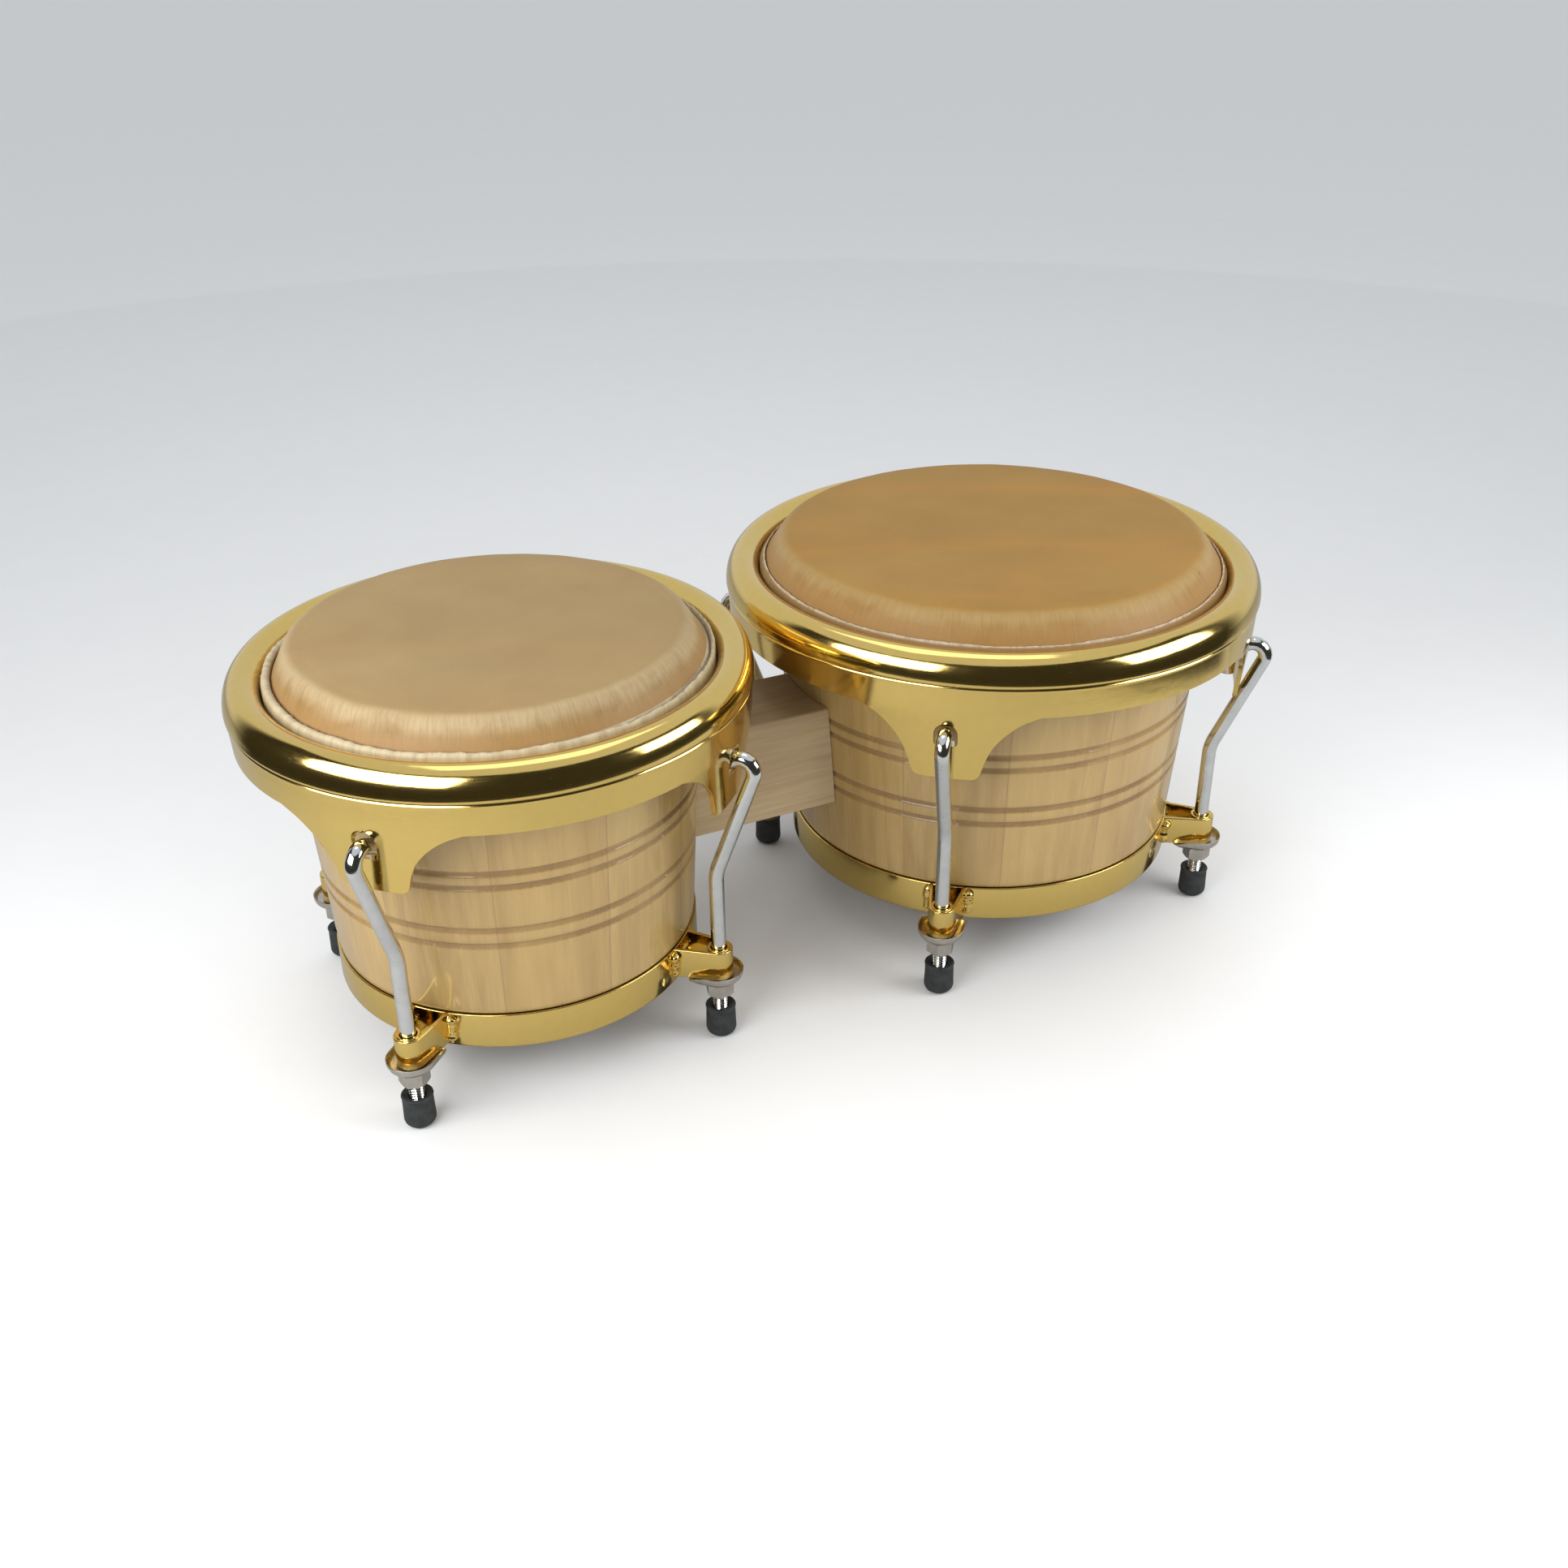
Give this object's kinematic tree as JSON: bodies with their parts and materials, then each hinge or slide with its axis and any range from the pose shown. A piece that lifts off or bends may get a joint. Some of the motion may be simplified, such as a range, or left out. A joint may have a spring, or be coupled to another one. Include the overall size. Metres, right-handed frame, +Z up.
{
  "type": "bongo drums",
  "caption": "Small and large bongo drum joined by a wooden centre block, with skin heads, rolled gold rims, tuning hooks, bracketed bottom rings and rubber-tipped feet.",
  "frame": {"origin": "on the floor under the middle of the whole pair, at the bottom centre of its bounding box", "axes": "+X along the line of the two drums from the small one to the large one, +Z up along both drum axes, -Y towards the pictured front"},
  "size_m": [0.467, 0.244, 0.1813],
  "materials": {
    "shell_wood": "glossy lacquer",
    "block_wood": "matt sealed",
    "skin": "matt rawhide",
    "gold": "mirror polished plating",
    "chrome": "polished",
    "nickel": "satin nickel plating",
    "steel": "zinc plated",
    "rubber": "matt moulded"
  },
  "bodies": {
    "drums": {"small_shell": "shell_wood", "small_head": "skin", "small_bottom_ring": "gold", "small_underplate_back_right": "nickel", "small_underplate_back_left": "nickel", "small_underplate_front_left": "nickel", "small_underplate_front_right": "nickel", "small_block_bolt_lower": "steel", "small_block_bolt_upper": "steel", "small_block_washer_lower": "steel", "small_block_washer_upper": "steel", "large_shell": "shell_wood", "large_head": "skin", "large_bottom_ring": "gold", "large_underplate_back_right": "nickel", "large_underplate_back_left": "nickel", "large_underplate_front_left": "nickel", "large_underplate_front_right": "nickel", "large_block_bolt_lower": "steel", "large_block_bolt_upper": "steel", "large_block_washer_lower": "steel", "large_block_washer_upper": "steel", "centre_block": "block_wood"},
    "small_rim_set": {"small_rim": "gold", "small_flesh_hoop": "steel", "small_hook_back_right": "chrome", "small_hook_back_left": "chrome", "small_hook_front_left": "chrome", "small_hook_front_right": "chrome", "small_tip_back_right": "rubber", "small_tip_back_left": "rubber", "small_tip_front_left": "rubber", "small_tip_front_right": "rubber"},
    "small_nut_back_right_body": {"small_nut_back_right": "nickel"},
    "small_nut_back_left_body": {"small_nut_back_left": "nickel"},
    "small_nut_front_left_body": {"small_nut_front_left": "nickel"},
    "small_nut_front_right_body": {"small_nut_front_right": "nickel"},
    "large_rim_set": {"large_rim": "gold", "large_flesh_hoop": "steel", "large_hook_back_right": "chrome", "large_hook_back_left": "chrome", "large_hook_front_left": "chrome", "large_hook_front_right": "chrome", "large_tip_back_right": "rubber", "large_tip_back_left": "rubber", "large_tip_front_left": "rubber", "large_tip_front_right": "rubber"},
    "large_nut_back_right_body": {"large_nut_back_right": "nickel"},
    "large_nut_back_left_body": {"large_nut_back_left": "nickel"},
    "large_nut_front_left_body": {"large_nut_front_left": "nickel"},
    "large_nut_front_right_body": {"large_nut_front_right": "nickel"}
  },
  "joints": [
    {"name": "small_rim_tuning", "type": "slide", "parent": "drums", "child": "small_rim_set", "axis": [0, 0, 1], "range_m": [-0.003, 0.002], "deforming": ["small_head"]},
    {"name": "small_nut_back_right_turn", "type": "hinge", "parent": "drums", "child": "small_nut_back_right_body", "pos_m": [-0.05918, 0.06732, 0.0245], "axis": [0, 0, 1], "range_deg": [-570, 855]},
    {"name": "small_nut_back_left_turn", "type": "hinge", "parent": "drums", "child": "small_nut_back_left_body", "pos_m": [-0.19382, 0.06732, 0.0245], "axis": [0, 0, 1], "range_deg": [-570, 855]},
    {"name": "small_nut_front_left_turn", "type": "hinge", "parent": "drums", "child": "small_nut_front_left_body", "pos_m": [-0.19382, -0.06732, 0.0245], "axis": [0, 0, 1], "range_deg": [-570, 855]},
    {"name": "small_nut_front_right_turn", "type": "hinge", "parent": "drums", "child": "small_nut_front_right_body", "pos_m": [-0.05918, -0.06732, 0.0245], "axis": [0, 0, 1], "range_deg": [-570, 855]},
    {"name": "large_rim_tuning", "type": "slide", "parent": "drums", "child": "large_rim_set", "axis": [0, 0, 1], "range_m": [-0.003, 0.002], "deforming": ["large_head"]},
    {"name": "large_nut_back_right_turn", "type": "hinge", "parent": "drums", "child": "large_nut_back_right_body", "pos_m": [0.18118, 0.08304, 0.0245], "axis": [0, 0, 1], "range_deg": [-570, 855]},
    {"name": "large_nut_back_left_turn", "type": "hinge", "parent": "drums", "child": "large_nut_back_left_body", "pos_m": [0.02846, 0.06968, 0.0245], "axis": [0, 0, 1], "range_deg": [-570, 855]},
    {"name": "large_nut_front_left_turn", "type": "hinge", "parent": "drums", "child": "large_nut_front_left_body", "pos_m": [0.04182, -0.08304, 0.0245], "axis": [0, 0, 1], "range_deg": [-570, 855]},
    {"name": "large_nut_front_right_turn", "type": "hinge", "parent": "drums", "child": "large_nut_front_right_body", "pos_m": [0.19454, -0.06968, 0.0245], "axis": [0, 0, 1], "range_deg": [-570, 855]}
  ],
  "couplings": [
    {"joint": "small_nut_back_right_turn", "follows": "small_rim_tuning", "rad_per_m": -4947.4},
    {"joint": "small_nut_back_left_turn", "follows": "small_rim_tuning", "rad_per_m": -4947.4},
    {"joint": "small_nut_front_left_turn", "follows": "small_rim_tuning", "rad_per_m": -4947.4},
    {"joint": "small_nut_front_right_turn", "follows": "small_rim_tuning", "rad_per_m": -4947.4},
    {"joint": "large_nut_back_right_turn", "follows": "large_rim_tuning", "rad_per_m": -4947.4},
    {"joint": "large_nut_back_left_turn", "follows": "large_rim_tuning", "rad_per_m": -4947.4},
    {"joint": "large_nut_front_left_turn", "follows": "large_rim_tuning", "rad_per_m": -4947.4},
    {"joint": "large_nut_front_right_turn", "follows": "large_rim_tuning", "rad_per_m": -4947.4}
  ]
}
